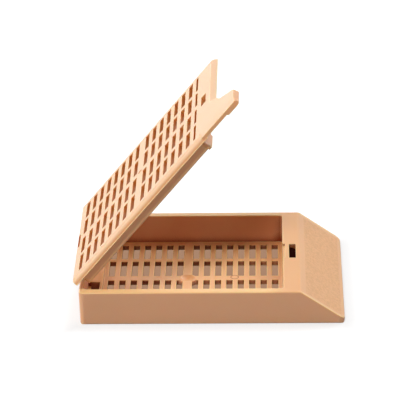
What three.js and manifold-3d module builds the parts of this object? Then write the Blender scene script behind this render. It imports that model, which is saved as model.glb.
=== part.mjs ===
// Tissue cassette: a moulded tray with a perforated floor and a sloped writing face, and a
// perforated snap lid that swings on a hook and bar at the other end.
// Millimetres, +Z up. The origin is the middle of the tray's underside, +X points to the writing
// face, and the lid stands open by LID_ANGLE.

import * as THREE from "three";
import { mergeVertices } from "three/addons/utils/BufferGeometryUtils.js";
import Module from "manifold-3d";

// ---------------------------------------------------------------- tray: walls and writing face
const TRAY_LENGTH = 40.8;
const TRAY_WIDTH = 28.5;
const TRAY_HEIGHT = 5.5;
const TRAY_DRAFT = 0.11; // the foot of each outer wall stands in from its rim by this
const TRAY_CORNER = 0.9; // radius of the upright outer corners
const RIM_RADIUS = 0.25;
const FOOT_RADIUS = 0.3;
const SIDE_WALL = 1.3;
const HINGE_WALL = 0.75;
const FLOOR_THICKNESS = 0.8;
const POCKET_CORNER = 0.35; // radius of the upright inner corners
const SLOPE_RUN = 6.9;
const NOSE_HEIGHT = 0.75;
const NOSE_RADIUS = 0.6; // under the lower end of the writing face
const CREASE_RADIUS = 1;
const SLOPE_THICKNESS = 1.1;
const LEDGE_LENGTH = 2.6; // flat between the pocket and the crease
const LEDGE_THICKNESS = 0.65;
const LATCH_WALL = 1; // upright wall under the ledge's inner edge

// ---------------------------------------------------------------- tray: floor and small features
const FLOOR_PITCH = 1.8;
const FLOOR_SLOT = 0.98; // slot width
const FLOOR_CENTRE_WEB = 1.48;
const FLOOR_GATE_X = 16.27; // hinge end to the cross web that carries the gate cup
const FLOOR_MIDDLE_WEB = 1.46;
const FLOOR_INNER_ROW = 5.19; // slot length in the two rows next to the middle web
const FLOOR_ROW_WEB = 0.9;
const FLOOR_BORDER = 1.2; // the least solid floor between the slots and the walls
const FLOOR_END_BORDER = 0.65;
const CUP_RADIUS = 1.38; // gate cup in the middle of the floor, at its rim
const CUP_SWELL = 0.1; // its outside swells by this under the rim
const CUP_WAIST_HEIGHT = 0.3; // height of the widest part
const BOWL_RADIUS = 1.2; // opening of the hollow in the cup
const BOWL_DEPTH = 0.5;
const RIB_X = 2.6; // hinge end to the low rib across the floor
const RIB_THICKNESS = 0.45;
const RIB_HEIGHT = 1.5;
const SEAT_WIDTH = 5.2; // solid block under the hinge bar
const DRAIN_BORDER = 0.7; // floor left between a drain and the side wall
const DRAIN_SETBACK = 0.45; // floor left between a drain and the hinge wall
const LATCH_NOTCH_LENGTH = 0.35; // step in the ledge's inner edge over the latch
const LATCH_NOTCH_WIDTH = 4.9;
const LATCH_NOTCH_DEPTH = 0.3;
const LATCH_WINDOW_LENGTH = 1.05;
const LATCH_WINDOW_WIDTH = 4.9;
const WINDOW_CORNER = 0.15;
const GROOVE_DEPTH = 0.35; // undercut in the latch wall that the lid's barb faces
const GROOVE_HEIGHT = 1.5;

// ---------------------------------------------------------------- hinge
const AXIS_OUT = 1; // the turning axis lies this far outside the hinge end
const AXIS_UP = 0.3; // and this far above the rim
const BAR_HEIGHT = 1.45; // bar left above the window in the hinge wall
const HOOK_GAP = 0.15; // running gap between the bar and the hook that turns round it
const HOOK_THICKNESS = 0.7;
const HOOK_WIDTH = 3.6;
const HOOK_SIDE_GAP = 0.5;
const HOOK_END_ANGLE = 66; // degrees below level at which the hook ends, lid closed
const LID_ANGLE = 50.3; // degrees open

// ---------------------------------------------------------------- lid
const LID_THICKNESS = 0.95;
const LID_SEAT_GAP = 0.08; // plate underside above the rim, lid closed
const LID_SIDE_INSET = 0.65; // the lid is narrower than the tray by this on each side
const LID_EDGE_RADIUS = 0.94; // rounding along both long edges
const LID_EDGE_LEAN = 0.13; // and each leans in by this towards the top
const LID_LIP_WIDTH = 0.1; // fine line that the mould's parting leaves under that rounding
const LID_LIP_HEIGHT = 0.12;
const LID_CORNER = 0.2;
const LID_END_RADIUS = 0.3; // top edge at the hinge end
const RECESS_WIDTH = 4.3; // narrow recess in the top, over the hinge hook
const RECESS_LENGTH = 0.5;
const RECESS_DEPTH = 0.55;
const RECESS_INSET = 0.22; // hinge edge to the recess
const RAMP_RUN = 0.65; // chamfer that ends the plate
const PLATE_END_GAP = 0.1; // plate end to the crease
const END_THICKNESS = 0.82; // the plate and the tab are thinner beyond the skirt
const END_LENGTH = 1.9; // thinner part of the plate
const LID_PITCH = 1.835;
const LID_SLOT = 0.955;
const LID_CENTRE_WEB = 1.51;
const LID_GATE_X = 15.9; // hinge edge to the middle of the wide cross web
const LID_MIDDLE_WEB = 1.46;
const LID_INNER_ROW = 5.04;
const LID_ROW_WEB = 1.01;
const GATE_DIMPLE_RADIUS = 0.45;
const GATE_DIMPLE_DEPTH = 0.08;
const HOLE_LENGTH = 1.15; // opening over the latch hook
const HOLE_WIDTH = 3.5;
const HOLE_LEAD = 0.3; // the opening starts this far before the latch wall
const SKIRT_DEPTH = 1.55; // below the plate
const SKIRT_WALL = 0.6;
const SKIRT_SIDE_GAP = 0.35;
const SKIRT_HINGE_GAP = 0.1;
const SKIRT_LATCH_GAP = 0.7;
const SKIRT_CORNER = 0.8;
const SKIRT_FOOT_RADIUS = 0.4; // under the outer side of both long walls
const TONGUE_WIDTH = 4.2;
const TONGUE_INSET = 0.4; // tongue end to the skirt's outer side
const TONGUE_DEPTH = 0.3; // below the skirt
const TONGUE_CORNER = 0.1;
const LATCH_HOOK_WIDTH = 3;
const LATCH_HOOK_DEPTH = 1.15; // below the skirt
const BARB_GAP = 0.12; // barb tip to the latch wall, lid closed

// ---------------------------------------------------------------- finger tab on the lid
const TAB_LEAD = 2.7; // the tab's upright side starts this far before the plate's end
const TAB_REACH = 5.5; // past the plate's end
const TAB_TIP_WIDTH = 4;
const TAB_TIP_SLOPE = 0.45;
const TAB_TIP_CORNER = 0.9;
const TAB_SHOULDER_REACH = 1.85;
const TAB_SHOULDER_WIDTH = 6.75;
const TAB_WAIST_REACH = 0.95;
const TAB_WAIST_WIDTH = 8.5;
const TAB_ROOT_WIDTH = 10;
const TAB_CURVE = 0.8; // radius of the bends along the inner edge
const TAB_BEVEL_WIDTH = 1.95; // shallow bevel along the outer side
const TAB_BEVEL_DEPTH = 0.25;
const TAB_LIP_DEPTH = 0.25; // ridge under the tip
const TAB_LIP_LENGTH = 2.8;

// ---------------------------------------------------------------- how shapes are made
const EMBED = 0.3; // joined shapes run into each other by this
const PAST = 1; // cutters run past the faces they cut by this
const ARC_STEPS = 3; // curve segments; an arc gets twice as many
const ROUND_SIDES = 32; // segments of a full circle
const MERGE = 1e-4;

// Places that follow from the sizes above. Those ending in X are measured along the tray.
const hingeEndX = -TRAY_LENGTH / 2;
const noseX = TRAY_LENGTH / 2;
const creaseX = noseX - SLOPE_RUN;
const pocketStartX = hingeEndX + HINGE_WALL;
const pocketEndX = creaseX - LEDGE_LENGTH;
const pocketHalfWidth = TRAY_WIDTH / 2 - SIDE_WALL;
const ribX = hingeEndX + RIB_X;
const axisX = hingeEndX - AXIS_OUT;
const axisZ = TRAY_HEIGHT + AXIS_UP;
const barBottomZ = TRAY_HEIGHT - BAR_HEIGHT;
const hookInnerRadius = Math.hypot(AXIS_OUT + HINGE_WALL, axisZ - barBottomZ) + HOOK_GAP;
const hookOuterRadius = hookInnerRadius + HOOK_THICKNESS;

const lidHalfWidth = TRAY_WIDTH / 2 - LID_SIDE_INSET;
const lidUnderZ = TRAY_HEIGHT + LID_SEAT_GAP;
const lidTopZ = lidUnderZ + LID_THICKNESS;
const plateEndX = creaseX - PLATE_END_GAP;
const endUnderZ = lidTopZ - END_THICKNESS;
const endStartX = plateEndX - END_LENGTH;
const skirtBottomZ = lidUnderZ - SKIRT_DEPTH;
const skirtStartX = pocketStartX + SKIRT_HINGE_GAP;
const skirtEndX = pocketEndX - SKIRT_LATCH_GAP;
const skirtHalfWidth = pocketHalfWidth - SKIRT_SIDE_GAP;
const latchHookBottomZ = skirtBottomZ - LATCH_HOOK_DEPTH;

const wasm = await Module();
wasm.setup();

// A closed three.js geometry as a solid that can be joined and cut.
function toSolid(geometry) {
  const bare = geometry.clone();
  bare.deleteAttribute("normal");
  bare.deleteAttribute("uv");
  const merged = mergeVertices(bare, MERGE);
  return new wasm.Manifold(
    new wasm.Mesh({
      numProp: 3,
      vertProperties: merged.attributes.position.array,
      triVerts: new Uint32Array(merged.index.array),
    }),
  );
}

function toGeometry(solid) {
  const mesh = solid.getMesh();
  const indexed = new THREE.BufferGeometry();
  indexed.setAttribute("position", new THREE.BufferAttribute(mesh.vertProperties, 3));
  indexed.setIndex(new THREE.BufferAttribute(mesh.triVerts, 1));
  const flat = indexed.toNonIndexed();
  flat.computeVertexNormals();
  return flat;
}

// A closed outline from corners [x, y, radius], given counter-clockwise; a radius of 0 or none
// leaves the corner sharp, and a radius too large for its sides is limited by them.
function roundedOutline(corners) {
  const outline = new THREE.Shape();
  const share = ([, , radius = 0]) => (radius > 0 ? 0.49 : 0.98); // of a side, for one rounding
  corners.forEach(([x, y, radius = 0], i) => {
    const corner = new THREE.Vector2(x, y);
    const before = new THREE.Vector2(...corners.at(i - 1)).sub(corner);
    const after = new THREE.Vector2(...corners[(i + 1) % corners.length]).sub(corner);
    const half = Math.acos(before.dot(after) / (before.length() * after.length())) / 2;
    const room = Math.min(
      before.length() * share(corners.at(i - 1)),
      after.length() * share(corners[(i + 1) % corners.length]),
    );
    const tangent = Math.min(radius / Math.tan(half), room);
    const start = corner.clone().addScaledVector(before.normalize(), tangent);
    const move = i === 0 ? "moveTo" : "lineTo";
    outline[move](start.x, start.y);
    if (tangent < MERGE) return;
    const end = corner.clone().addScaledVector(after.normalize(), tangent);
    const rounding = tangent * Math.tan(half);
    const toCentre = before.clone().add(after).normalize();
    const centre = corner.clone().addScaledVector(toCentre, rounding / Math.sin(half));
    const fromAngle = start.clone().sub(centre).angle();
    const toAngle = end.clone().sub(centre).angle();
    const clockwise = before.cross(after) > 0;
    outline.absarc(centre.x, centre.y, rounding, fromAngle, toAngle, clockwise);
  });
  outline.closePath();
  return outline;
}

function extrude(outline, depth) {
  const settings = { depth, bevelEnabled: false, curveSegments: ARC_STEPS };
  return new THREE.ExtrudeGeometry(outline, settings);
}

// An outline in X and Y, extruded upwards.
function upright(outline, bottom, top) {
  return toSolid(extrude(outline, top - bottom).translate(0, 0, bottom));
}

// An outline in X and Z, extruded across the width.
function across(outline, fromY, toY) {
  const geometry = extrude(outline, toY - fromY);
  return toSolid(geometry.rotateX(Math.PI / 2).translate(0, toY, 0));
}

// An outline in Y and Z, extruded along the length.
function along(outline, fromX, toX) {
  const turn = new THREE.Matrix4().makeBasis(
    new THREE.Vector3(0, 1, 0),
    new THREE.Vector3(0, 0, 1),
    new THREE.Vector3(1, 0, 0),
  );
  return toSolid(extrude(outline, toX - fromX).applyMatrix4(turn).translate(fromX, 0, 0));
}

function box([x0, y0, z0], [x1, y1, z1]) {
  const geometry = new THREE.BoxGeometry(x1 - x0, y1 - y0, z1 - z0);
  return toSolid(geometry.translate((x0 + x1) / 2, (y0 + y1) / 2, (z0 + z1) / 2));
}

function cone(x, y, [bottomRadius, topRadius], [bottom, top]) {
  const geometry = new THREE.CylinderGeometry(topRadius, bottomRadius, top - bottom, ROUND_SIDES);
  return toSolid(geometry.rotateX(Math.PI / 2).translate(x, y, (bottom + top) / 2));
}

function ball(x, y, z, radius) {
  const geometry = new THREE.SphereGeometry(radius, ROUND_SIDES, ROUND_SIDES);
  return toSolid(geometry.rotateX(Math.PI / 2).translate(x, y, z));
}

function roundedRectangle(x0, x1, y0, y1, radius) {
  return roundedOutline([
    [x0, y0, radius],
    [x1, y0, radius],
    [x1, y1, radius],
    [x0, y1, radius],
  ]);
}

function joined(solids) {
  return solids.reduce((whole, next) => whole.add(next));
}

function cut(body, cutters) {
  return cutters.reduce((rest, cutter) => rest.subtract(cutter), body);
}

// The same solid with its upright walls leaning in towards the foot.
function drafted(solid, halfLength, halfWidth, height, inset) {
  const mesh = solid.getMesh();
  const geometry = new THREE.BufferGeometry();
  geometry.setAttribute("position", new THREE.BufferAttribute(mesh.vertProperties, 3));
  geometry.setIndex(new THREE.BufferAttribute(mesh.triVerts, 1));
  const place = geometry.attributes.position;
  for (let i = 0; i < place.count; i += 1) {
    const shift = inset * (1 - place.getZ(i) / height);
    place.setX(i, place.getX(i) * (1 - shift / halfLength));
    place.setY(i, place.getY(i) * (1 - shift / halfWidth));
  }
  return toSolid(geometry);
}

// Slots between two limits along X, in columns either side of a wide cross web.
function slotColumns({ webX, webWidth, pitch, width, startX, endX, least }) {
  const columns = [];
  const first = (webWidth + width) / 2;
  for (const side of [-1, 1]) {
    const room = side < 0 ? webX - startX : endX - webX;
    for (let reach = first; reach - width / 2 + least < room; reach += pitch) {
      const middle = webX + side * reach;
      const from = Math.max(middle - width / 2, startX);
      const to = Math.min(middle + width / 2, endX);
      columns.push([from, to]);
    }
  }
  return columns;
}

// Four rows, two on each side of the middle web, out to a given half width.
function slotRows({ middleWeb, innerRow, rowWeb, halfWidth }) {
  const innerEnd = middleWeb / 2 + innerRow;
  const rows = [
    [middleWeb / 2, innerEnd],
    [innerEnd + rowWeb, halfWidth],
  ];
  return rows.flatMap(([from, to]) => [
    [from, to],
    [-to, -from],
  ]);
}

function slots(columns, rows, bottom, top) {
  return columns.flatMap(([x0, x1]) =>
    rows.map(([y0, y1]) => box([x0, y0, bottom - PAST], [x1, y1, top + PAST])),
  );
}

// ---------------------------------------------------------------- tray

function trayOutside() {
  const plan = roundedRectangle(
    hingeEndX,
    noseX,
    -TRAY_WIDTH / 2,
    TRAY_WIDTH / 2,
    TRAY_CORNER,
  );
  const side = roundedOutline([
    [hingeEndX, 0, FOOT_RADIUS],
    [noseX, 0, NOSE_RADIUS],
    [noseX, NOSE_HEIGHT, FOOT_RADIUS],
    [creaseX, TRAY_HEIGHT, CREASE_RADIUS],
    [hingeEndX, TRAY_HEIGHT, RIM_RADIUS],
  ]);
  const end = roundedOutline([
    [-TRAY_WIDTH / 2, 0, FOOT_RADIUS],
    [TRAY_WIDTH / 2, 0, FOOT_RADIUS],
    [TRAY_WIDTH / 2, TRAY_HEIGHT, RIM_RADIUS],
    [-TRAY_WIDTH / 2, TRAY_HEIGHT, RIM_RADIUS],
  ]);
  const block = upright(plan, -PAST, TRAY_HEIGHT + PAST)
    .intersect(across(side, -TRAY_WIDTH, TRAY_WIDTH))
    .intersect(along(end, hingeEndX - PAST, noseX + PAST));
  return drafted(block, TRAY_LENGTH / 2, TRAY_WIDTH / 2, TRAY_HEIGHT, TRAY_DRAFT);
}

function pocket() {
  const plan = roundedRectangle(
    pocketStartX,
    pocketEndX,
    -pocketHalfWidth,
    pocketHalfWidth,
    POCKET_CORNER,
  );
  return upright(plan, FLOOR_THICKNESS, TRAY_HEIGHT + PAST);
}

// The hollow under the ledge and the writing face, open below.
function writingFaceHollow() {
  const slope = Math.atan2(TRAY_HEIGHT - NOSE_HEIGHT, SLOPE_RUN);
  const underLedgeZ = TRAY_HEIGHT - LEDGE_THICKNESS;
  const startX = pocketEndX + LATCH_WALL;
  const slopeFootX = noseX + NOSE_HEIGHT / Math.tan(slope) - SLOPE_THICKNESS / Math.sin(slope);
  const side = roundedOutline([
    [startX, -PAST],
    [slopeFootX + PAST / Math.tan(slope), -PAST],
    [slopeFootX - underLedgeZ / Math.tan(slope), underLedgeZ, CREASE_RADIUS],
    [startX, underLedgeZ, POCKET_CORNER],
  ]);
  return across(side, -pocketHalfWidth, pocketHalfWidth);
}

function floorSlots() {
  const columns = slotColumns({
    webX: hingeEndX + FLOOR_GATE_X,
    webWidth: FLOOR_CENTRE_WEB,
    pitch: FLOOR_PITCH,
    width: FLOOR_SLOT,
    startX: ribX + RIB_THICKNESS + FLOOR_END_BORDER,
    endX: pocketEndX - FLOOR_END_BORDER,
    least: FLOOR_SLOT,
  });
  const rows = slotRows({
    middleWeb: FLOOR_MIDDLE_WEB,
    innerRow: FLOOR_INNER_ROW,
    rowWeb: FLOOR_ROW_WEB,
    halfWidth: pocketHalfWidth - FLOOR_BORDER,
  });
  return slots(columns, rows, 0, FLOOR_THICKNESS);
}

// Round cup that keeps the stub of the moulding gate below the floor.
function gateCup() {
  const x = hingeEndX + FLOOR_GATE_X;
  const rim = FLOOR_THICKNESS;
  const widest = CUP_RADIUS + CUP_SWELL;
  const bowlRadius = (BOWL_RADIUS ** 2 + BOWL_DEPTH ** 2) / (2 * BOWL_DEPTH);
  const foot = cone(x, 0, [CUP_RADIUS, widest], [0, CUP_WAIST_HEIGHT]);
  const top = cone(x, 0, [widest, CUP_RADIUS], [CUP_WAIST_HEIGHT, rim]);
  const bowl = ball(x, 0, rim - BOWL_DEPTH + bowlRadius, bowlRadius);
  return { cup: foot.add(top), bowl };
}

// Drains either side of the hinge seat, between the hinge wall and the rib.
function hingeDrains() {
  const outer = pocketHalfWidth - DRAIN_BORDER;
  const sides = [
    [SEAT_WIDTH / 2, outer],
    [-outer, -SEAT_WIDTH / 2],
  ];
  return sides.map(([y0, y1]) =>
    box([pocketStartX + DRAIN_SETBACK, y0, -PAST], [ribX, y1, FLOOR_THICKNESS + PAST]),
  );
}

function floorRib() {
  const y = pocketHalfWidth + EMBED;
  return box([ribX, -y, FLOOR_THICKNESS - EMBED], [ribX + RIB_THICKNESS, y, RIB_HEIGHT]);
}

function hingeSeat() {
  const y = SEAT_WIDTH / 2;
  const bottom = FLOOR_THICKNESS - EMBED;
  return box([pocketStartX - EMBED, -y, bottom], [ribX + EMBED, y, RIB_HEIGHT]);
}

// Window through the hinge wall: what is left above it is the hinge bar.
function hingeWindow() {
  const y = HOOK_WIDTH / 2 + HOOK_SIDE_GAP;
  return box([hingeEndX - PAST, -y, RIB_HEIGHT], [pocketStartX, y, barBottomZ]);
}

function latchCuts() {
  const notchY = LATCH_NOTCH_WIDTH / 2;
  const windowY = LATCH_WINDOW_WIDTH / 2;
  const windowX = pocketEndX + LATCH_WALL;
  const grooveTop = latchHookBottomZ + LATCH_HOOK_DEPTH;
  const notch = box(
    [pocketEndX - PAST, -notchY, TRAY_HEIGHT - LATCH_NOTCH_DEPTH],
    [pocketEndX + LATCH_NOTCH_LENGTH, notchY, TRAY_HEIGHT + PAST],
  );
  const groove = box(
    [pocketEndX - PAST, -notchY, grooveTop - GROOVE_HEIGHT],
    [pocketEndX + GROOVE_DEPTH, notchY, grooveTop],
  );
  const window = upright(
    roundedRectangle(windowX, windowX + LATCH_WINDOW_LENGTH, -windowY, windowY, WINDOW_CORNER),
    TRAY_HEIGHT - LEDGE_THICKNESS - PAST,
    TRAY_HEIGHT + PAST,
  );
  return [notch, groove, window];
}

function tray() {
  const shell = cut(trayOutside(), [pocket(), writingFaceHollow(), ...floorSlots()]);
  const drained = cut(shell, hingeDrains());
  const { cup, bowl } = gateCup();
  const filled = joined([drained, cup, floorRib(), hingeSeat()]);
  return cut(filled, [bowl, hingeWindow(), ...latchCuts()]);
}

// ---------------------------------------------------------------- lid, built closed

function lidPlate() {
  const width = lidHalfWidth;
  const lipY = width + LID_LIP_WIDTH;
  const lipTopZ = lidUnderZ + LID_LIP_HEIGHT;
  const end = roundedOutline([
    [-lipY, lidUnderZ],
    [lipY, lidUnderZ],
    [lipY, lipTopZ],
    [width, lipTopZ],
    [width - LID_EDGE_LEAN, lidTopZ, LID_EDGE_RADIUS],
    [LID_EDGE_LEAN - width, lidTopZ, LID_EDGE_RADIUS],
    [-width, lipTopZ],
    [-lipY, lipTopZ],
  ]);
  const side = roundedOutline([
    [hingeEndX, lidUnderZ],
    [endStartX, lidUnderZ],
    [endStartX, endUnderZ],
    [plateEndX, endUnderZ],
    [plateEndX - RAMP_RUN, lidTopZ],
    [hingeEndX, lidTopZ, LID_END_RADIUS],
  ]);
  const plan = roundedOutline([
    [hingeEndX, -lipY, LID_CORNER],
    [plateEndX, -lipY],
    [plateEndX, lipY],
    [hingeEndX, lipY, LID_CORNER],
  ]);
  return along(end, hingeEndX - PAST, plateEndX + PAST)
    .intersect(across(side, -TRAY_WIDTH, TRAY_WIDTH))
    .intersect(upright(plan, lidUnderZ - PAST, lidTopZ + PAST));
}

// The finger tab at one corner: it overhangs the writing face of the closed cassette.
function fingerTab() {
  const startX = plateEndX - TAB_LEAD;
  const tipX = plateEndX + TAB_REACH;
  const outerY = -lidHalfWidth;
  const plan = roundedOutline([
    [startX, outerY],
    [tipX, outerY, TAB_TIP_CORNER],
    [tipX, outerY + TAB_TIP_WIDTH, TAB_CURVE / 2],
    [plateEndX + TAB_SHOULDER_REACH, outerY + TAB_SHOULDER_WIDTH, TAB_CURVE],
    [plateEndX + TAB_WAIST_REACH, outerY + TAB_WAIST_WIDTH, TAB_CURVE],
    [plateEndX - RAMP_RUN, outerY + TAB_ROOT_WIDTH],
    [startX, outerY + TAB_ROOT_WIDTH],
  ]);
  const lipZ = endUnderZ - TAB_LIP_DEPTH;
  const lipX = tipX - TAB_LIP_LENGTH;
  const side = roundedOutline([
    [startX, endUnderZ],
    [lipX, endUnderZ],
    [lipX + TAB_LIP_DEPTH, lipZ],
    [tipX, lipZ, TAB_LIP_DEPTH],
    [tipX - TAB_TIP_SLOPE, lidTopZ, TAB_LIP_DEPTH],
    [startX, lidTopZ],
  ]);
  const bevel = roundedOutline([
    [outerY - TAB_BEVEL_WIDTH, lidTopZ - 2 * TAB_BEVEL_DEPTH],
    [outerY + TAB_BEVEL_WIDTH, lidTopZ],
    [outerY - TAB_BEVEL_WIDTH, lidTopZ + PAST],
  ]);
  const tab = upright(plan, lipZ - PAST, lidTopZ + PAST).intersect(
    across(side, -TRAY_WIDTH, TRAY_WIDTH),
  );
  return { tab, bevel: along(bevel, startX, tipX + PAST) };
}

function lidSlots() {
  const columns = slotColumns({
    webX: hingeEndX + LID_GATE_X,
    webWidth: LID_CENTRE_WEB,
    pitch: LID_PITCH,
    width: LID_SLOT,
    startX: skirtStartX + SKIRT_WALL,
    endX: skirtEndX - SKIRT_WALL,
    least: LID_SLOT / 2,
  });
  const rows = slotRows({
    middleWeb: LID_MIDDLE_WEB,
    innerRow: LID_INNER_ROW,
    rowWeb: LID_ROW_WEB,
    halfWidth: skirtHalfWidth - SKIRT_WALL,
  });
  return slots(columns, rows, lidUnderZ, lidTopZ);
}

function latchHole() {
  const x = pocketEndX - HOLE_LEAD;
  const y = HOLE_WIDTH / 2;
  const plan = roundedRectangle(x, x + HOLE_LENGTH, -y, y, WINDOW_CORNER);
  return upright(plan, lidUnderZ - PAST / 2, lidTopZ + PAST);
}

function gateDimple() {
  const reach = [lidTopZ - GATE_DIMPLE_DEPTH, lidTopZ + PAST];
  return cone(hingeEndX + LID_GATE_X, 0, [GATE_DIMPLE_RADIUS, GATE_DIMPLE_RADIUS], reach);
}

function hookRecess() {
  const x = hingeEndX + RECESS_INSET;
  const y = RECESS_WIDTH / 2;
  const plan = roundedRectangle(x, x + RECESS_LENGTH, -y, y, RECESS_LENGTH / 2);
  return upright(plan, lidTopZ - RECESS_DEPTH, lidTopZ + PAST);
}

// Low wall under the plate that drops into the pocket.
function skirt() {
  const wall = SKIRT_WALL;
  const y = skirtHalfWidth;
  const outside = roundedRectangle(skirtStartX, skirtEndX, -y, y, SKIRT_CORNER);
  const inside = roundedRectangle(
    skirtStartX + wall,
    skirtEndX - wall,
    wall - y,
    y - wall,
    SKIRT_CORNER - wall,
  );
  const rounded = roundedOutline([
    [-y, skirtBottomZ, SKIRT_FOOT_RADIUS],
    [y, skirtBottomZ, SKIRT_FOOT_RADIUS],
    [y, lidUnderZ + EMBED],
    [-y, lidUnderZ + EMBED],
  ]);
  return upright(outside, skirtBottomZ - PAST, lidUnderZ + PAST)
    .intersect(along(rounded, skirtStartX - PAST, skirtEndX + PAST))
    .subtract(upright(inside, skirtBottomZ - PAST, lidUnderZ + PAST));
}

function tongues() {
  const outer = skirtHalfWidth - TONGUE_INSET;
  const sides = [
    [outer - TONGUE_WIDTH, outer],
    [-outer, TONGUE_WIDTH - outer],
  ];
  const bottom = skirtBottomZ - TONGUE_DEPTH;
  return sides.map(([y0, y1]) => {
    const face = roundedOutline([
      [y0, bottom, TONGUE_CORNER],
      [y1, bottom, TONGUE_CORNER],
      [y1, skirtBottomZ + EMBED],
      [y0, skirtBottomZ + EMBED],
    ]);
    return along(face, skirtEndX - SKIRT_WALL, skirtEndX);
  });
}

// Springy tongue with a barb that snaps under the top of the latch wall.
function latchHook() {
  const innerX = skirtEndX - SKIRT_WALL;
  const barbX = pocketEndX - BARB_GAP;
  const barbZ = latchHookBottomZ + LATCH_HOOK_DEPTH * 0.6;
  const profile = roundedOutline([
    [innerX, latchHookBottomZ],
    [skirtEndX, latchHookBottomZ],
    [barbX, barbZ, WINDOW_CORNER / 2],
    [skirtEndX, skirtBottomZ],
    [skirtEndX, lidUnderZ + EMBED],
    [innerX, lidUnderZ + EMBED],
  ]);
  return across(profile, -LATCH_HOOK_WIDTH / 2, LATCH_HOOK_WIDTH / 2);
}

// Curved tongue, concentric with the hinge axis, that turns under the hinge bar.
function hingeHook() {
  const end = THREE.MathUtils.degToRad(-HOOK_END_ANGLE);
  const start = Math.asin(EMBED / hookInnerRadius);
  const middle = (hookInnerRadius + hookOuterRadius) / 2;
  const profile = new THREE.Shape();
  profile.absarc(axisX, axisZ, hookOuterRadius, end, start, false);
  profile.absarc(axisX, axisZ, hookInnerRadius, start, end, true);
  const endX = axisX + middle * Math.cos(end);
  const endZ = axisZ + middle * Math.sin(end);
  profile.absarc(endX, endZ, HOOK_THICKNESS / 2, end + Math.PI, end + 2 * Math.PI, false);
  return across(profile, -HOOK_WIDTH / 2, HOOK_WIDTH / 2);
}

function lidShape() {
  const { tab, bevel } = fingerTab();
  const plate = cut(lidPlate().add(tab), [
    bevel,
    gateDimple(),
    latchHole(),
    hookRecess(),
  ]);
  const whole = joined([plate, skirt(), ...tongues(), latchHook(), hingeHook()]);
  return cut(whole, lidSlots());
}

// ---------------------------------------------------------------- the cassette

const trayAcetal = new THREE.MeshStandardMaterial({
  name: "acetal_tray",
  color: "#e6b182",
  roughness: 0.55,
  metalness: 0,
});
const lidAcetal = new THREE.MeshStandardMaterial({
  name: "acetal_lid",
  color: "#ecbc8f",
  roughness: 0.55,
  metalness: 0,
});

const base = new THREE.Mesh(toGeometry(tray()), trayAcetal);
base.name = "base";

const lid = new THREE.Mesh(toGeometry(lidShape()), lidAcetal);
lid.name = "lid";
lid.position.set(-axisX, 0, -axisZ);

const hinge = new THREE.Group();
hinge.position.set(axisX, 0, axisZ);
hinge.rotation.y = -THREE.MathUtils.degToRad(LID_ANGLE);
hinge.add(lid);

const cassette = new THREE.Group();
cassette.name = "tissue_cassette";
cassette.add(base, hinge);

export default cassette;
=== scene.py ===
import math
from collections import namedtuple

import bpy
from mathutils import Matrix, Vector


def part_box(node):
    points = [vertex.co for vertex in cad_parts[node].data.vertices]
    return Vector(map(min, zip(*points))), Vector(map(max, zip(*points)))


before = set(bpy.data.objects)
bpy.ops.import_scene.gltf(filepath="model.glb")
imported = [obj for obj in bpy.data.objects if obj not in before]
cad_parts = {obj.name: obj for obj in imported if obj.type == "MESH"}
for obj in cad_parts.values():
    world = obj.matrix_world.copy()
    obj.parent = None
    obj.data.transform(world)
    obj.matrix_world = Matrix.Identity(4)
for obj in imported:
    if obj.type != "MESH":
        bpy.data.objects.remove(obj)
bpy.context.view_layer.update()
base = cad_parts["base"]
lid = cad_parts["lid"]

MM = 0.001

# ------------------------------------------------------------------ places on the cassette
BASE_LOW, BASE_HIGH = (Vector(corner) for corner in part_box("base"))
SLOPE_RUN = 6.9 * MM
LEDGE_LENGTH = 2.6 * MM
SIDE_WALL = 1.3 * MM
FLOOR_THICKNESS = 0.8 * MM
CREASE_X = BASE_HIGH.x - SLOPE_RUN
LEDGE_X = CREASE_X - LEDGE_LENGTH
FLOOR_Z = BASE_LOW.z + FLOOR_THICKNESS
GATE_PLACE = (BASE_LOW.x + 16.27 * MM, 0, FLOOR_Z / 2)  # middle of the cup in the tray's floor
GATE_REACH = 1.5 * MM
BLUR = 0.1 * MM  # at the border of a tone
MARK_PLACE = (BASE_LOW.x + 23.7 * MM, 0.25 * MM, FLOOR_Z)  # left by an ejector pin
MARK_RADIUS = 0.5 * MM
MARK_WIDTH = 0.2 * MM
FACE_BORDER = 0.9 * MM  # smooth border round the grain of the writing face
RIM_FADE = 4.5 * MM  # length over which the painted highlight on the side walls' rims ends, near the ledge
RIM_END = LEDGE_X + 1.5 * MM
STRIP_WIDTH = 0.5 * MM  # of the strips of painted highlight beside the sloped face
SKIRT_SIDE = 12.6 * MM  # outer side of the lid's skirt, from the middle

# ------------------------------------------------------------------ camera
LENS = 230.3  # mm, on a sensor this wide
SENSOR_WIDTH = 36
CAMERA_DISTANCE = 0.4338
CAMERA_ELEVATION = math.radians(25.27)
CAMERA_YAW = math.radians(-1.395)
CAMERA_ROLL = math.radians(-0.951)
AIM = Vector((BASE_LOW.x + 19.265 * MM, BASE_LOW.y + 31.215 * MM, 5 * MM))


def make_camera():
    forward = Vector(
        (
            math.sin(CAMERA_YAW) * math.cos(CAMERA_ELEVATION),
            math.cos(CAMERA_YAW) * math.cos(CAMERA_ELEVATION),
            -math.sin(CAMERA_ELEVATION),
        )
    )
    level = forward.cross(Vector((0, 0, 1))).normalized()
    upward = level.cross(forward)
    right = math.cos(CAMERA_ROLL) * level + math.sin(CAMERA_ROLL) * upward
    up = math.cos(CAMERA_ROLL) * upward - math.sin(CAMERA_ROLL) * level
    data = bpy.data.cameras.new("camera")
    data.lens = LENS
    data.sensor_width = SENSOR_WIDTH
    data.clip_start = 0.01
    data.clip_end = 20
    camera = bpy.data.objects.new("camera", data)
    bpy.context.scene.collection.objects.link(camera)
    turn = Matrix((right, up, -forward)).transposed().to_4x4()
    camera.matrix_world = Matrix.Translation(AIM - forward * CAMERA_DISTANCE) @ turn
    bpy.context.scene.camera = camera


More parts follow.
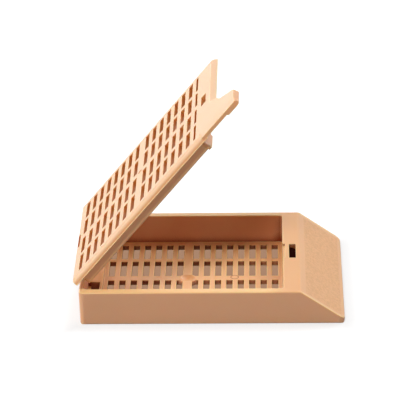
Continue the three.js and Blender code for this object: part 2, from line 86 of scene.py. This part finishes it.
# ------------------------------------------------------------------ node helpers
# Where each mask starts and where it is full, both as its own measure.
EDGE_TURN = (0.995, 0.85)  # cosine between the rounded and the flat normal
WALL_TURN = (0.6, 0.3)  # cosine between the normal and the way that the plate faces
CAVITY_OPENNESS = (0.95, 0.4)  # share of the sky that a point sees
MASK_SAMPLES = 8


class Nodes:
    """Short calls for building one node tree."""

    def __init__(self, tree):
        self.tree = tree

    def add(self, kind, **settings):
        node = self.tree.nodes.new(kind)
        for name, value in settings.items():
            setattr(node, name, value)
        return node

    def feed(self, socket, value):
        """Link another node's output to this socket, or set a constant."""
        if isinstance(value, bpy.types.NodeSocket):
            self.tree.links.new(value, socket)
        else:
            socket.default_value = value

    def fill(self, node, **values):
        """Feed sockets by name, with _ for a space."""
        for name, value in values.items():
            self.feed(node.inputs[name.replace("_", " ")], value)
        return node

    # ---- numbers

    def math(self, operation, first, second=0.0):
        node = self.add("ShaderNodeMath", operation=operation)
        self.feed(node.inputs[0], first)
        self.feed(node.inputs[1], second)
        return node.outputs[0]

    def product(self, first, *others):
        for other in others:
            first = self.math("MULTIPLY", first, other)
        return first

    def ramp(self, value, start, end):
        """0 at start, 1 at end, smooth between."""
        node = self.add("ShaderNodeMapRange", interpolation_type="SMOOTHSTEP")
        self.fill(node, Value=value, From_Min=start, From_Max=end)
        return node.outputs["Result"]

    def between(self, value, low, high, blur):
        """1 where value lies between low and high, falling to 0 over blur at both ends."""
        return self.product(self.ramp(value, low, low + blur), self.ramp(value, high, high - blur))

    def scaled(self, value, low, high):
        """Low where value is 0, high where it is 1."""
        node = self.add("ShaderNodeMapRange")
        self.fill(node, Value=value, To_Min=low, To_Max=high)
        return node.outputs["Result"]

    # ---- vectors

    def coordinate(self, kind):
        return self.add("ShaderNodeTexCoord").outputs[kind]

    def split(self, vector):
        return self.fill(self.add("ShaderNodeSeparateXYZ"), Vector=vector).outputs

    def measure(self, operation, first, second):
        """A dot product or a distance."""
        node = self.add("ShaderNodeVectorMath", operation=operation)
        self.feed(node.inputs[0], first)
        self.feed(node.inputs[1], second)
        return node.outputs["Value"]

    # ---- colours, patterns and surfaces

    def mix(self, factor, first, second):
        node = self.add("ShaderNodeMix", data_type="RGBA")
        colour_inputs = node.inputs[6], node.inputs[7]
        self.feed(node.inputs[0], factor)
        for socket, value in zip(colour_inputs, (first, second)):
            self.feed(socket, value)
        return node.outputs[2]

    def noise(self, place, scale, detail=2.0, roughness=0.5, stretch=(1, 1, 1)):
        mapping = self.fill(self.add("ShaderNodeMapping"), Vector=place, Scale=stretch)
        node = self.add("ShaderNodeTexNoise")
        self.fill(node, Vector=mapping.outputs[0], Scale=scale, Detail=detail, Roughness=roughness)
        return node.outputs["Fac"]

    def bump(self, height, distance, normal):
        node = self.fill(self.add("ShaderNodeBump"), Distance=distance, Height=height, Normal=normal)
        node.inputs["Strength"].default_value = 1.0
        return node.outputs["Normal"]

    def rounded(self, radius):
        """The normal of the surface as if its edges were rounded."""
        return self.fill(self.add("ShaderNodeBevel", samples=MASK_SAMPLES), Radius=radius).outputs[0]

    def edges(self, width):
        """1 on the edges, falling to 0 at this distance from them."""
        flat = self.add("ShaderNodeNewGeometry").outputs["Normal"]
        return self.ramp(self.measure("DOT_PRODUCT", self.rounded(width), flat), *EDGE_TURN)

    def wall(self, upward):
        """1 on the walls of a plate that faces this way, 0 on its two faces."""
        facing = self.measure("DOT_PRODUCT", self.coordinate("Normal"), upward)
        return self.ramp(self.math("ABSOLUTE", facing), *WALL_TURN)

    def cavity(self, size):
        """1 deep in a slot or a corner narrower than this size, and 0 in the open."""
        node = self.add("ShaderNodeAmbientOcclusion", samples=MASK_SAMPLES, only_local=True)
        self.fill(node, Distance=size)
        return self.ramp(node.outputs["AO"], *CAVITY_OPENNESS)

    def seen(self):
        """1 to the camera and in reflections, 0 to all other light."""
        rays = self.add("ShaderNodeLightPath").outputs
        seen = self.math("MAXIMUM", rays["Is Camera Ray"], rays["Is Glossy Ray"])
        return self.math("MAXIMUM", seen, rays["Is Transmission Ray"])


# ------------------------------------------------------------------ materials
# The darker and the paler tone of the faces; the tone of the walls, a painted shading for how light
# falls on walls unlike faces;
# the edge tone, a painted highlight on the rounded edges; and the deep tone, painted shade deep in slots
# and corners.
Tones = namedtuple("Tones", "dark pale side edge deep")
TRAY_TONES = Tones(
    dark=(0.83, 0.435, 0.185, 1),
    pale=(0.87, 0.465, 0.205, 1),
    side=(0.84, 0.44, 0.235, 1),
    edge=(1.0, 0.61, 0.24, 1),
    deep=(0.28, 0.05, 0.004, 1),
)
# The lid's faces are paler than the tray's: a painted sheen, since lid and tray are the same plastic.
LID_TONES = Tones(
    dark=(0.83, 0.50, 0.26, 1),
    pale=(0.86, 0.53, 0.29, 1),
    side=(0.83, 0.405, 0.17, 1),
    edge=(1.0, 0.68, 0.33, 1),
    deep=(0.56, 0.16, 0.012, 1),
)
RIM_HIGHLIGHT_TONE = (0.97, 0.6, 0.265, 1)  # painted highlight on top of the tray's side walls and on the strips beside the sloped face
SKIRT_PAINTED_LIGHT = (1.0, 0.51, 0.22, 1)  # painted light on the outside of the lid's skirt, which lies in the plate's shade
GRAIN_TONE = (0.66, 0.32, 0.12, 1)  # in the pits of the writing face
GRAIN_SHARE = 0.5
MARK_TONE = (0.42, 0.11, 0.02, 1)
SCATTER = (1.0, 0.45, 0.2)
SCATTER_DEPTH = 0.6 * MM
SCATTER_SHARE = 0.35
REFRACTION = 1.48
TRAY_GLOSS = 0.5
LID_GLOSS = 0.8
TRAY_ROUNDING = 0.2 * MM  # the small rounding that a mould leaves on every edge
LID_ROUNDING = 0.13 * MM
TRAY_HIGHLIGHT_BAND = 0.45 * MM  # the band along the edges that gets the painted highlight
LID_HIGHLIGHT_BAND = 0.3 * MM
CAVITY_SIZE = 1.8 * MM
CLOUD_SCALE = 130  # the scale of a pattern is about its number of spots in a metre
CLOUD_SHARE = 0.7  # and the specks have the rest
SPECK_SCALE = 2600
ROUGHNESS_SCALE = 900
ROUGHNESS = (0.36, 0.46)
SKIN_SCALE = 5200
SKIN_DEPTH = 0.006 * MM
GRAIN_SCALE = 2500
GRAIN_STRETCH = (1, 0.75, 1)
GRAIN_DEPTH = 0.05 * MM
GRAIN_PITS = (0.62, 0.38)  # the grain's height where a pit starts and where it is full
GRAIN_ROUGHNESS = 0.12  # added on the writing face
TRAY_UP = (0, 0, 1)
LID_UP = (-0.769, 0, 0.639)  # out of the lid's top, half open


def start_material(name):
    material = bpy.data.materials.new(name)
    material.use_nodes = True
    shader = material.node_tree.nodes["Principled BSDF"]
    return material, Nodes(material.node_tree), shader


def plastic_colour(nodes, place, tones, wall):
    """The slightly cloudy colour of the moulding, with the walls' tone as painted shading, before the
    painted highlights on its edges and the painted shade in its hollows.
    """
    cloud = nodes.noise(place, CLOUD_SCALE, detail=3)
    speck = nodes.noise(place, SPECK_SCALE)
    tone = nodes.math("ADD", nodes.product(cloud, CLOUD_SHARE), nodes.product(speck, 1 - CLOUD_SHARE))
    return nodes.mix(wall, nodes.mix(tone, tones.dark, tones.pale), tones.side)


def plastic_skin(nodes, place, rounding):
    """The normal of the fine uneven skin, with rounded edges."""
    skin = nodes.noise(place, SKIN_SCALE, detail=3)
    return nodes.bump(skin, SKIN_DEPTH, nodes.rounded(rounding))


def plastic_roughness(nodes, place):
    return nodes.scaled(nodes.noise(place, ROUGHNESS_SCALE), *ROUGHNESS)


def set_plastic(nodes, shader, colour, rough, skin, gloss):
    nodes.fill(
        shader,
        Base_Color=colour,
        Roughness=rough,
        Normal=skin,
        IOR=REFRACTION,
        Specular_IOR_Level=gloss,
        Subsurface_Weight=SCATTER_SHARE,
        Subsurface_Radius=SCATTER,
        Subsurface_Scale=SCATTER_DEPTH,
    )


def rim_highlights(nodes, wall, x, outward, z):
    """1 where a painted highlight goes: on top of the side walls' rims, and on the strips beside the
    sloped face.
    """
    over_wall = nodes.ramp(outward, BASE_HIGH.y - SIDE_WALL - BLUR, BASE_HIGH.y - SIDE_WALL)
    high = nodes.ramp(z, BASE_HIGH.z - 2 * BLUR, BASE_HIGH.z - BLUR)
    before_ledge = nodes.ramp(x, RIM_END, RIM_END - RIM_FADE)
    rim = nodes.product(over_wall, high, before_ledge)
    strip_start = BASE_HIGH.y - STRIP_WIDTH
    at_side = nodes.ramp(outward, strip_start - BLUR, strip_start + BLUR)
    on_top = nodes.ramp(wall, 0.5, 0.0)
    past_crease = nodes.ramp(x, CREASE_X - 0.5 * MM, CREASE_X + 0.5 * MM)
    above_foot = nodes.ramp(z, BASE_LOW.z, BASE_LOW.z + 0.5 * MM)
    strip = nodes.product(at_side, on_top, past_crease, above_foot)
    return rim, strip


def writing_face(nodes, x, y):
    """1 on the etched part of the sloped face."""
    along = nodes.between(x, CREASE_X + FACE_BORDER, BASE_HIGH.x - FACE_BORDER / 2, 0.15 * MM)
    wide = nodes.between(y, BASE_LOW.y + FACE_BORDER, BASE_HIGH.y - FACE_BORDER, 0.15 * MM)
    sloped = nodes.between(nodes.split(nodes.coordinate("Normal"))["Z"], 0.7, 0.95, 0.05)
    return nodes.product(along, wide, sloped)


def tray_material():
    """Moulded acetal with painted highlights on its rims and edges, painted shading on its walls,
    painted shade in its slots and corners, an etched writing face and an ejector mark on the floor.
    """
    material, nodes, shader = start_material("acetal_tray")
    place = nodes.coordinate("Object")
    x, y, z = nodes.split(place)
    wall = nodes.wall(TRAY_UP)
    gate_distance = nodes.measure("DISTANCE", place, GATE_PLACE)
    outside_gate = nodes.ramp(gate_distance, GATE_REACH, GATE_REACH + BLUR)
    colour = plastic_colour(nodes, place, TRAY_TONES, wall)
    # painted highlight along the rounded edges, kept off the gate cup
    colour = nodes.mix(nodes.product(nodes.edges(TRAY_HIGHLIGHT_BAND), outside_gate), colour, TRAY_TONES.edge)
    # painted highlight on the rims and on the strips beside the sloped face
    for rim in rim_highlights(nodes, wall, x, nodes.math("ABSOLUTE", y), z):
        colour = nodes.mix(rim, colour, RIM_HIGHLIGHT_TONE)
    # painted shade deep in slots and corners, on the walls
    cavity_shade = nodes.product(nodes.cavity(CAVITY_SIZE), wall, outside_gate)
    colour = nodes.mix(cavity_shade, colour, TRAY_TONES.deep)

    face = writing_face(nodes, x, y)
    grain = nodes.noise(place, GRAIN_SCALE, detail=4, roughness=0.7, stretch=GRAIN_STRETCH)
    pits = nodes.product(nodes.ramp(grain, *GRAIN_PITS), face)
    colour = nodes.mix(nodes.product(pits, GRAIN_SHARE), colour, GRAIN_TONE)
    mark_distance = nodes.measure("DISTANCE", place, MARK_PLACE)
    mark = nodes.between(mark_distance, MARK_RADIUS, MARK_RADIUS + MARK_WIDTH, 0.06 * MM)
    colour = nodes.mix(mark, colour, MARK_TONE)
    skin = plastic_skin(nodes, place, TRAY_ROUNDING)
    skin = nodes.bump(nodes.product(grain, face), GRAIN_DEPTH, skin)
    extra_rough = nodes.product(face, GRAIN_ROUGHNESS)
    rough = nodes.math("ADD", plastic_roughness(nodes, place), extra_rough)
    set_plastic(nodes, shader, colour, rough, skin, TRAY_GLOSS)
    return material


def lid_material():
    """Moulded acetal with painted light on the outside of the skirt, painted highlights on its edges, a
    painted sheen on its faces and painted shade kept to the slots inside the skirt.
    """
    material, nodes, shader = start_material("acetal_lid")
    place = nodes.coordinate("Object")
    wall = nodes.wall(LID_UP)
    sideways = nodes.math("ABSOLUTE", nodes.split(place)["Y"])
    colour = plastic_colour(nodes, place, LID_TONES, wall)
    # painted highlight along the rounded edges
    colour = nodes.mix(nodes.edges(LID_HIGHLIGHT_BAND), colour, LID_TONES.edge)
    # painted light on the outside of the skirt
    skirt = nodes.between(sideways, SKIRT_SIDE - 0.15 * MM, SKIRT_SIDE + 0.15 * MM, 0.05 * MM)
    colour = nodes.mix(nodes.product(skirt, wall), colour, SKIRT_PAINTED_LIGHT)
    # painted shade deep in the slots inside the skirt
    inside_skirt = nodes.ramp(sideways, SKIRT_SIDE - 0.05 * MM, SKIRT_SIDE - 0.2 * MM)
    cavity_shade = nodes.product(nodes.cavity(CAVITY_SIZE), wall, inside_skirt)
    colour = nodes.mix(cavity_shade, colour, LID_TONES.deep)
    skin = plastic_skin(nodes, place, LID_ROUNDING)
    set_plastic(nodes, shader, colour, plastic_roughness(nodes, place), skin, LID_GLOSS)
    return material


def dress(node, material):
    node.data.materials.clear()
    node.data.materials.append(material)
    for polygon in node.data.polygons:
        polygon.material_index = 0


def smooth(node):
    """Smooth roundings and flat faces, with the sharp edges kept."""
    for polygon in node.data.polygons:
        polygon.use_smooth = True
    weld = node.modifiers.new("weld", "WELD")
    weld.merge_threshold = 0.001 * MM
    split = node.modifiers.new("sharp edges", "EDGE_SPLIT")
    split.split_angle = math.radians(30)
    normals = node.modifiers.new("flat faces", "WEIGHTED_NORMAL")
    normals.weight = 100


# ------------------------------------------------------------------ surroundings
WHITE = (1, 1, 1, 1)
STAGE_GREY = (0.35, 0.35, 0.35, 1)  # takes the lamps' light and the shadows
STAGE_WHITE = (0.86, 0.86, 0.86, 1)  # glow that makes it white
STAGE_PAINTED_SHADOW = (0.63, 0.63, 0.63, 1)  # lower glow next to the tray: a painted shadow round it, added to its real shadow
STAGE_DEEP_SHADE = (0.016, 0.003, 0.002, 1)  # painted shade under the sloped end, and the floor's colour wherever the tray covers it
STAGE_SHADE = (0.40, 0.235, 0.15, 1)  # painted shade, as a glow, of the floor that shows through the floor slots
STAGE_SIZE = 6
STAGE_DROP = 0.02 * MM  # below the tray
STAGE_INSET = 1.2 * MM  # from the tray's outline to what it covers
SHADOW_REACH = 4.5 * MM

# A square lamp that looks at the object: where it stands in degrees, its size in metres and its
# power in watts. Azimuth 0 is behind the object and 90 to its right.
Lamp = namedtuple("Lamp", "name azimuth elevation size power")
LAMPS = (
    Lamp("left", azimuth=270, elevation=15, size=0.7, power=6.2),
    Lamp("front left", azimuth=200, elevation=50, size=0.2, power=5.6),
    Lamp("back right", azimuth=47, elevation=40, size=0.7, power=6.1),
    Lamp("back", azimuth=338, elevation=15, size=0.7, power=2.7),
)
LAMP_DISTANCE = 1


def past_tray(nodes, place, axis):
    """How far a place lies outside the tray's outline along x or y, negative inside."""
    middle = (BASE_LOW[axis] + BASE_HIGH[axis]) / 2
    offset = nodes.math("ABSOLUTE", nodes.math("SUBTRACT", place, middle))
    return nodes.math("SUBTRACT", offset, BASE_HIGH[axis] - middle)


def stage_material():
    """White to the camera and in reflections, with a painted shadow next to the tray and painted shade
    where the tray covers it; the real shadows fall on its grey.
    """
    material, nodes, shader = start_material("stage_white")
    x, y, _ = nodes.split(nodes.coordinate("Object"))
    along = nodes.between(x, BASE_LOW.x + STAGE_INSET, BASE_HIGH.x - STAGE_INSET, 0.4 * MM)
    wide = nodes.between(y, BASE_LOW.y + STAGE_INSET, BASE_HIGH.y - STAGE_INSET, 0.4 * MM)
    covered = nodes.product(along, wide)
    under_slope = nodes.ramp(x, LEDGE_X - 0.2 * MM, LEDGE_X + 0.2 * MM)
    # painted shade under the tray: a dim glow through the slots, darker under the sloped end
    under = nodes.mix(under_slope, STAGE_SHADE, STAGE_DEEP_SHADE)
    outside = nodes.math("MAXIMUM", past_tray(nodes, x, 0), past_tray(nodes, y, 1))
    # painted shadow: less glow next to the tray
    glow = nodes.mix(nodes.ramp(outside, 0.0, SHADOW_REACH), STAGE_PAINTED_SHADOW, STAGE_WHITE)
    nodes.fill(
        shader,
        Base_Color=nodes.mix(covered, STAGE_GREY, STAGE_DEEP_SHADE),
        Roughness=0.9,
        Specular_IOR_Level=0.0,
        Emission_Color=nodes.mix(covered, glow, under),
        Emission_Strength=nodes.seen(),
    )
    return material


def make_stage():
    bpy.ops.mesh.primitive_plane_add(size=STAGE_SIZE, location=(0, 0, -STAGE_DROP))
    floor = bpy.context.object
    floor.name = "floor"
    dress(floor, stage_material())


def make_world():
    """White to the camera and in reflections, and no light of its own."""
    world = bpy.data.worlds.new("world")
    bpy.context.scene.world = world
    world.use_nodes = True
    nodes = Nodes(world.node_tree)
    nodes.fill(world.node_tree.nodes["Background"], Color=WHITE, Strength=nodes.seen())


def make_lamp(lamp):
    turn, rise = math.radians(lamp.azimuth), math.radians(lamp.elevation)
    away = Vector((math.sin(turn) * math.cos(rise), math.cos(turn) * math.cos(rise), math.sin(rise)))
    data = bpy.data.lights.new(lamp.name, "AREA")
    data.shape = "SQUARE"
    data.size = lamp.size
    data.energy = lamp.power
    light = bpy.data.objects.new(lamp.name, data)
    bpy.context.scene.collection.objects.link(light)
    light.location = away * LAMP_DISTANCE
    light.rotation_euler = (-away).to_track_quat("-Z", "Y").to_euler()


make_camera()
dress(base, tray_material())
dress(lid, lid_material())
smooth(base)
smooth(lid)
make_stage()
make_world()
for lamp in LAMPS:
    make_lamp(lamp)

bpy.context.scene.view_settings.view_transform = "Standard"
